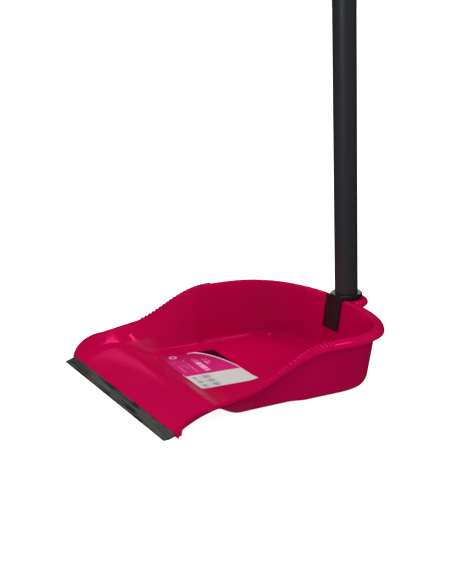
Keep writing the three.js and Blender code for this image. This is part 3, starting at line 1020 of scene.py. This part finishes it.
def gripOutline(bottom, top):
    p = gripShape
    radius = p["radius"]
    waist = radius - 0.6 * mm
    outline = [(0, bottom), (radius - 0.8 * mm, bottom), (radius, bottom + 0.8 * mm),
               (radius, bottom + 8 * mm), (radius - 0.9 * mm, bottom + 10 * mm)]
    for i in range(p["ribs"]):
        z = bottom + p["ribStart"] + i * p["ribPitch"]
        outline += [(waist, z), (waist - p["ribDepth"], z + 0.8 * mm),
                    (waist - p["ribDepth"], z + 1.8 * mm), (waist, z + 2.6 * mm)]
    outline += [(radius - 0.5 * mm, top - 40 * mm), (waist, top - 26 * mm),
                (radius - 1.6 * mm, top - 12 * mm), (radius - 4.4 * mm, top - 4 * mm),
                (radius - 8.4 * mm, top - 0.8 * mm), (0, top)]
    return rounded(outline, 3 * mm)


def gripBore(bottom):
    radius = tubeRadius + 0.35 * mm
    low, high = bottom - 5 * mm, bottom + gripShape["sleeve"] + 0.6 * mm
    return turned("sleeve", [(0, low), (radius, low), (radius, high), (0, high)], onHandle)


def eyeCheek(side, top):
    # what is cut away beside the hanging eye, to leave a flat
    low, high = top - gripShape["flatDown"], top + 10 * mm
    near, far = side * gripShape["flatHalf"], side * (gripShape["flatHalf"] + 20 * mm)
    outline = [(far, high), (near, high), (near, low + 3 * mm), (near + side * 3 * mm, low - 2 * mm),
               (far, low - 4 * mm)]
    cheek = barAlongX("cheek", rounded(outline, 4 * mm), 30 * mm)
    cheek.data.transform(onHandle)
    return cheek


def hangingEye(top):
    # the hole through the flat, flared at both faces, with the room beyond them cleared
    p = gripShape
    place = onHandle @ Matrix.Translation((0, 0, top - p["holeDown"])) @ Matrix.Rotation(math.pi / 2, 4, "X")
    hole, flare, wide = p["holeRadius"], p["holeRadius"] + 1.1 * mm, p["holeRadius"] + 9.1 * mm
    face = p["flatHalf"]
    half = [(hole, face - 1.2 * mm), (flare - 0.8 * mm, face - 0.3 * mm), (flare, face + 0.01 * mm),
            (wide, face + 0.01 * mm), (wide, 30 * mm), (0, 30 * mm)]
    profile = [(radius, -height) for radius, height in reversed(half)] + half
    return turned("eye", profile, place, 64)


def makeGrip():
    top = (gripTop - rimPoint.z) / math.cos(lean)
    bottom = top - gripShape["length"]
    grip = turned("handGrip", gripOutline(bottom, top), onHandle)
    shapeWith(grip, gripBore(bottom), "DIFFERENCE")
    for side in (-1, 1):
        shapeWith(grip, eyeCheek(side, top), "DIFFERENCE")
    shapeWith(grip, hangingEye(top), "DIFFERENCE")
    return finishPiece(grip, "hand_grip", "handle_body")


def blackFinish(name, look):
    material, tree, shader = newMaterial(name)
    stretch = look.get("stretch", (1, 1, 1))
    cloudy = noiseAt(tree, objectPlace(tree, stretch), 40, 3)      # slow changes of the colour
    colour = blendColours(tree, ranged(tree, cloudy, 0, 1), look["dark"], look["pale"])
    tree.links.new(colour, shader.inputs["Base Color"])
    grain = noiseAt(tree, objectPlace(tree, stretch), look["grainScale"], 3, 0.6)
    tree.links.new(ranged(tree, grain, *look["roughness"]), shader.inputs["Roughness"])
    addBump(tree, shader, grain, look["grainDepth"])
    coat = look.get("coat", 0.0)
    setSockets(shader, {"Specular IOR Level": 0.4, "Coat Weight": coat, "Coat Roughness": 0.2})
    return material


pan = dress(makePan(), crimsonPlastic())
lip = dress(makeLip(), streakedRubber())
dress(makeLabel(), printedFilm())
blackPieces = [
    dress(makeFitting(), blackFinish("satinBlackMoulding", mouldingLook)),
    dress(makeTube(), blackFinish("coatedTube", coatingLook)),
    dress(makeGrip(), blackFinish("grainedGrip", gripLook)),
]


# floor, background and lamps
studio = {
    "floorSize": 60.0,
    "floorColour": (0.9, 0.9, 0.9),
    "floorMottle": 0.985,                 # the darkest of its slow changes
    "backdrop": 1.1,                      # brightness behind everything
    "skyHigh": 1.02,                      # what lights the pan evenly from above
    "skyLow": 0.6,                        # and from below
    "skyTurns": (-0.35, 0.45),            # heights between which one passes into the other
    "skyGlossy": 0.006,                   # what the glossy plastic mirrors where no lamp stands
    "floorFill": 3.0,                     # lamp that keeps the floor white
    "softboxes": (                        # each lamp: name, place, aim, size, power
        ("topSoftbox", (-0.25, 0.25, 1.9), (0, 0, 0), (1.4, 1.0), 2.5),
        ("frontSoftbox", (1.3, -1.1, 0.6), (0, 0, 0.05), (0.9, 0.9), 3.8),
    ),
    "glintColour": (1.0, 0.075, 0.33),
    "glints": (                           # mirrored in the crimson plastic only
        ("rampGlint", (-0.965, 0.1, 0.43), (-0.09, -0.11, 0.012), (0.3, 0.08), 0.08),
        ("overheadGlint", (-0.03, 0.5, 0.92), (-0.1, 0, 0), (0.08, 0.28), 1.5),
        ("cornerGlint", (-0.25, -0.06, 0.96), (-0.08, 0.09, 0), (0.42, 0.08), 1.3),
    ),
    "sheens": (                           # mirrored in the lip and the black pieces only
        ("tubeSheen", (0.9, -1.3, 0.9), (0, 0.13, 0.2), (0.8, 1.4), 9),
        ("collarSheen", (-0.85, 0.65, 0.42), (0, 0.13, 0.06), (0.5, 0.4), 1),
        ("ringSheen", (0.15, 0.03, 1.15), (0, 0.13, 0.06), (0.4, 0.4), 3),
    ),
}


def makeFloor():
    half = studio["floorSize"] / 2
    centre = (cadLow + cadHigh) / 2
    corners = [(centre.x + x * half, centre.y + y * half, cadLow.z)
               for x, y in ((-1, -1), (1, -1), (1, 1), (-1, 1))]
    floor = meshFrom("studioFloor", corners, [(0, 1, 2, 3)])
    material, tree, shader = newMaterial("paleFloor")
    tone = ranged(tree, noiseAt(tree, objectPlace(tree), 3, 2), 0.0, 1.0)
    pale = studio["floorColour"]
    colour = blendColours(tree, tone, pale, tuple(c * studio["floorMottle"] for c in pale))
    tree.links.new(colour, shader.inputs["Base Color"])
    setSockets(shader, {"Roughness": 0.9, "Specular IOR Level": 0.1})
    floor.data.materials.append(material)
    floor.visible_glossy = False
    floor.visible_diffuse = False
    return floor


def makeSky():
    world = bpy.data.worlds.new("studioSky")
    bpy.context.scene.world = world
    world.use_nodes = True
    world.cycles.sampling_method = "NONE"     # so that the gloss sees only its own sky
    tree = world.node_tree
    sky = tree.nodes["Background"]
    sky.inputs["Color"].default_value = (1, 1, 1, 1)
    place = tree.nodes.new("ShaderNodeTexCoord")
    split = tree.nodes.new("ShaderNodeSeparateXYZ")
    tree.links.new(place.outputs["Generated"], split.inputs["Vector"])
    light = ranged(tree, split.outputs["Z"], studio["skyLow"], studio["skyHigh"], *studio["skyTurns"])
    ray = tree.nodes.new("ShaderNodeLightPath")
    for kind, value in (("Is Glossy Ray", studio["skyGlossy"]), ("Is Camera Ray", studio["backdrop"])):
        seen = calc(tree, "MULTIPLY", calc(tree, "SUBTRACT", value, light), ray.outputs[kind])
        light = calc(tree, "ADD", light, seen)
    tree.links.new(light, sky.inputs["Strength"])


def addLight(name, kind, place, aim, power, colour=(1, 1, 1)):
    data = bpy.data.lights.new(name, kind)
    data.energy = power
    data.color = colour
    light = bpy.data.objects.new(name, data)
    bpy.context.scene.collection.objects.link(light)
    light.location = place
    light.rotation_mode = "QUATERNION"
    light.rotation_quaternion = (Vector(aim) - Vector(place)).to_track_quat("-Z", "Y")
    return light


def softbox(name, place, aim, size, power, colour=(1, 1, 1)):
    light = addLight(name, "AREA", place, aim, power, colour)
    light.data.shape = "RECTANGLE"
    light.data.size, light.data.size_y = size
    return light


def lightOnly(light, pieces):
    # the lamp reaches these pieces and nothing else
    group = bpy.data.collections.new(light.name + "Reaches")
    for piece in pieces:
        group.objects.link(piece)
    light.light_linking.receiver_collection = group


def fillFloor(floor):
    fill = addLight("floorFill", "SUN", (0, 0, 3), (0, 0, 0), studio["floorFill"])
    fill.data.use_shadow = False
    lightOnly(fill, [floor])


floor = makeFloor()
makeSky()
for lamp in studio["softboxes"]:
    softbox(*lamp).visible_glossy = False
fillFloor(floor)
for lamp in studio["glints"]:
    lightOnly(softbox(*lamp, studio["glintColour"]), [pan])
for lamp in studio["sheens"]:
    lightOnly(softbox(*lamp), [lip, *blackPieces])

scene = bpy.context.scene
scene.view_settings.view_transform = "Standard"
scene.view_settings.look = "None"
print("studio set")
